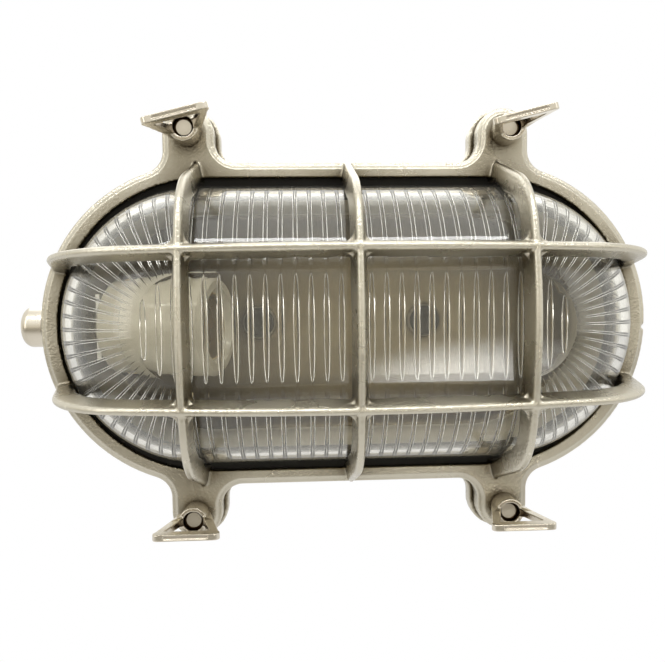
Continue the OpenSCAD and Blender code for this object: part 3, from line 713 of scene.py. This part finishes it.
def panel_spindles():
    """(x, z, height) of the pointed ribs on the inner face of the panel."""
    points = []
    end_count = int((PANEL_HALF - SPINDLE_MARGIN) / rib_pitch)
    for step in range(-end_count, RIB_STEPS + end_count + 1):
        x = step * rib_pitch - glass_spine
        over = max(abs(x) - glass_spine, 0.0)
        long = math.sqrt(PANEL_HALF**2 - over**2) - SPINDLE_SHORT
        for row in range(-SPINDLE_ROWS // 2, SPINDLE_ROWS // 2 + 1):
            along = math.sin(math.pi * row / SPINDLE_ROWS)
            girth = max(1 - along**2, 0.0) ** SPINDLE_BLUNT
            if girth < SPINDLE_TIP:
                points.append((x, along * long, 0.0))
                continue
            for share in RIB_SHARES:
                lift = SPINDLE_HIGH * girth * math.sqrt(1 - share**2)
                for side in (1, -1) if share else (1,):
                    points.append((x + side * share * girth * SPINDLE_WIDE / 2, along * long, lift))
    return points


def ribbed_bowl(name):
    """The whole glass as one closed mesh: flange, smooth outside, ribbed inside and panel."""
    columns = bowl_columns()
    points = []
    rows = 0
    for centre, out_x, out_z, lift in columns:
        outer = [(rim_r, flange_front)] + flank_profile(0.0, 0.0)[2:]
        inner = flank_profile(GLASS_WALL, lift)
        flange = [
            (rim_r - GLASS_WALL, flange_back),
            (flange_r - FLANGE_ROUND, flange_back),
            (flange_r, flange_back + FLANGE_ROUND),
            (flange_r, flange_front - FLANGE_ROUND),
            (flange_r - FLANGE_ROUND, flange_front),
        ]
        ring = list(reversed(inner)) + flange + outer
        rows = len(ring)
        points += [(centre + out_x * r, -d, out_z * r) for r, d in ring]
    count = len(columns)
    faces = []
    for column in range(count):
        here = column * rows
        there = (column + 1) % count * rows
        for row in range(rows - 1):
            faces.append((here + row, here + row + 1, there + row + 1, there + row))
    faces.append([column * rows + rows - 1 for column in range(count)])
    # The inner face of the panel joins the edge of the flank to the pointed ribs
    edge = [column * rows for column in range(count)]
    flat = [Vector((points[i][0], points[i][2])) for i in edge]
    spindles = panel_spindles()
    flat += [Vector((x, z)) for x, z, _ in spindles]
    ring_edges = [(i, (i + 1) % count) for i in range(count)]
    cut = delaunay_2d_cdt(flat, ring_edges, [list(range(count))], 1, GLASS_MERGE)
    place = {}
    for new, origins in enumerate(cut[3]):
        origin = origins[0] if origins else None
        if origin is not None and origin < count:
            place[new] = edge[origin]
        else:
            lift = spindles[origin - count][2] if origin is not None else 0.0
            place[new] = len(points)
            points.append((cut[0][new].x, -(panel_front - GLASS_WALL - lift), cut[0][new].y))
    faces += [tuple(place[i] for i in face) for face in cut[2]]
    mesh = bpy.data.meshes.new(name)
    mesh.from_pydata(points, [], faces)
    work = bmesh.new()
    work.from_mesh(mesh)
    bmesh.ops.remove_doubles(work, verts=work.verts, dist=GLASS_MERGE)
    bmesh.ops.recalc_face_normals(work, faces=work.faces)
    work.to_mesh(mesh)
    work.free()
    mesh.shade_smooth()
    mesh.set_sharp_from_angle(angle=SHARP_ANGLE)
    panel = max(mesh.polygons, key=lambda face: face.loop_total)
    for corner in panel.loop_indices:
        mesh.edges[mesh.loops[corner].edge_index].use_edge_sharp = True
    piece = bpy.data.objects.new(name, mesh)
    scene.collection.objects.link(piece)
    return piece


def pressed_glass(name):
    """Clear glass with a faint waviness and a thin smeared film; lamps light what is behind it."""
    material, tree = new_material(name)
    spot = add(tree, "ShaderNodeTexCoord")
    wave = add(tree, "ShaderNodeTexNoise", Scale=55.0, Detail=1.0)
    ripple = add(tree, "ShaderNodeBump", Strength=0.06, Distance=0.0002)
    glass = add(tree, "ShaderNodeBsdfPrincipled", IOR=1.5, Transmission_Weight=0.965)
    glass.inputs["Base Color"].default_value = (*GLASS_TINT, 1)
    smear = add(tree, "ShaderNodeTexNoise", Scale=130.0, Detail=4.0)
    film = add(tree, "ShaderNodeMapRange", From_Min=0.3, From_Max=0.7, To_Min=FILM_THIN, To_Max=FILM_THICK)
    clear = add(tree, "ShaderNodeBsdfTransparent", Color=(*SHADOW_TINT, 1))
    rays = add(tree, "ShaderNodeLightPath")
    mix = add(tree, "ShaderNodeMixShader")
    out = add(tree, "ShaderNodeOutputMaterial")
    joined(
        tree,
        (spot.outputs["Object"], wave.inputs["Vector"]),
        (wave.outputs["Fac"], ripple.inputs["Height"]),
        (ripple.outputs["Normal"], glass.inputs["Normal"]),
        (rays.outputs["Is Shadow Ray"], mix.inputs[0]),
        (spot.outputs["Object"], smear.inputs["Vector"]),
        (smear.outputs["Fac"], film.inputs["Value"]),
        (film.outputs["Result"], glass.inputs["Roughness"]),
        (glass.outputs[0], mix.inputs[1]),
        (clear.outputs[0], mix.inputs[2]),
        (mix.outputs[0], out.inputs["Surface"]),
    )
    return material


bowl = ribbed_bowl("glass_bowl")
finish(bowl, pressed_glass("clear_glass"))
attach(bowl, "front")
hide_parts("glass")

# Guard gasket
# A second flat ring of black rubber, laid between the glass and the guard.
# Its inner edge shows as a dark band.
finish(node["guard_gasket"], black_rubber)

# Guard
# One brass casting: a ring with four ears and a cage of two long and three short blade bars,
# nickel plated, dropped over the studs.
GUARD_VOXEL = 0.0005
GUARD_RELAX = 3
GUARD_TRIANGLES = 190000
guard = cast_copy("guard_casting", "guard", GUARD_VOXEL, GUARD_RELAX, GUARD_TRIANGLES)
finish(guard, cast_nickel)
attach(guard, "front")
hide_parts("guard")

# Thumb nuts
# Cast brass nuts with a closed loop to turn them by, polished before plating.
# One is screwed on each stud and holds the guard down.
NUT_VOXEL = 0.00030
NUT_RELAX = 3
NUT_TRIANGLES = 36000
NUT_TURN = {"tl": 14, "tr": 14, "bl": 0, "br": 0}
BARREL_R = 0.0056
BARREL_HIGH = 0.0100
LOOP_BLEND = 0.0030
LOOP_SLIM = 0.68


def slim_loop(nut, hub, turn):
    """Draws a nut's loop thinner across its plane, clear of the barrel."""
    along = Vector((math.cos(turn), 0, math.sin(turn)))
    across = Vector((-math.sin(turn), 0, math.cos(turn)))
    for point in nut.data.vertices:
        arm = point.co - hub
        clear = max(abs(arm.dot(along)) - BARREL_R, -arm.y - BARREL_HIGH)
        point.co -= across * arm.dot(across) * ease(clear / LOOP_BLEND) * (1 - LOOP_SLIM)


polished_nickel = plated_metal(
    "polished_nickel",
    light=(0.80, 0.75, 0.65), dark=(0.68, 0.62, 0.51), grime_and_shade=(0.14, 0.10, 0.06),
    smooth=0.10, rough=0.22, pebble_scale=1600.0, pebble_depth=0.00006,
)
hubs = {joint["child"]: Vector(joint["pos_m"]) for joint in frame["joints"] if "pos_m" in joint}
for corner, turn in NUT_TURN.items():
    nut = cast_copy(
        "thumb_nut_casting_" + corner, "thumb_nut_" + corner, NUT_VOXEL, NUT_RELAX, NUT_TRIANGLES
    )
    slim_loop(nut, hubs["nut_" + corner], math.radians(turn))
    finish(nut, polished_nickel)
    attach(nut, "nut_" + corner)
    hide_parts("thumb_nut_" + corner)
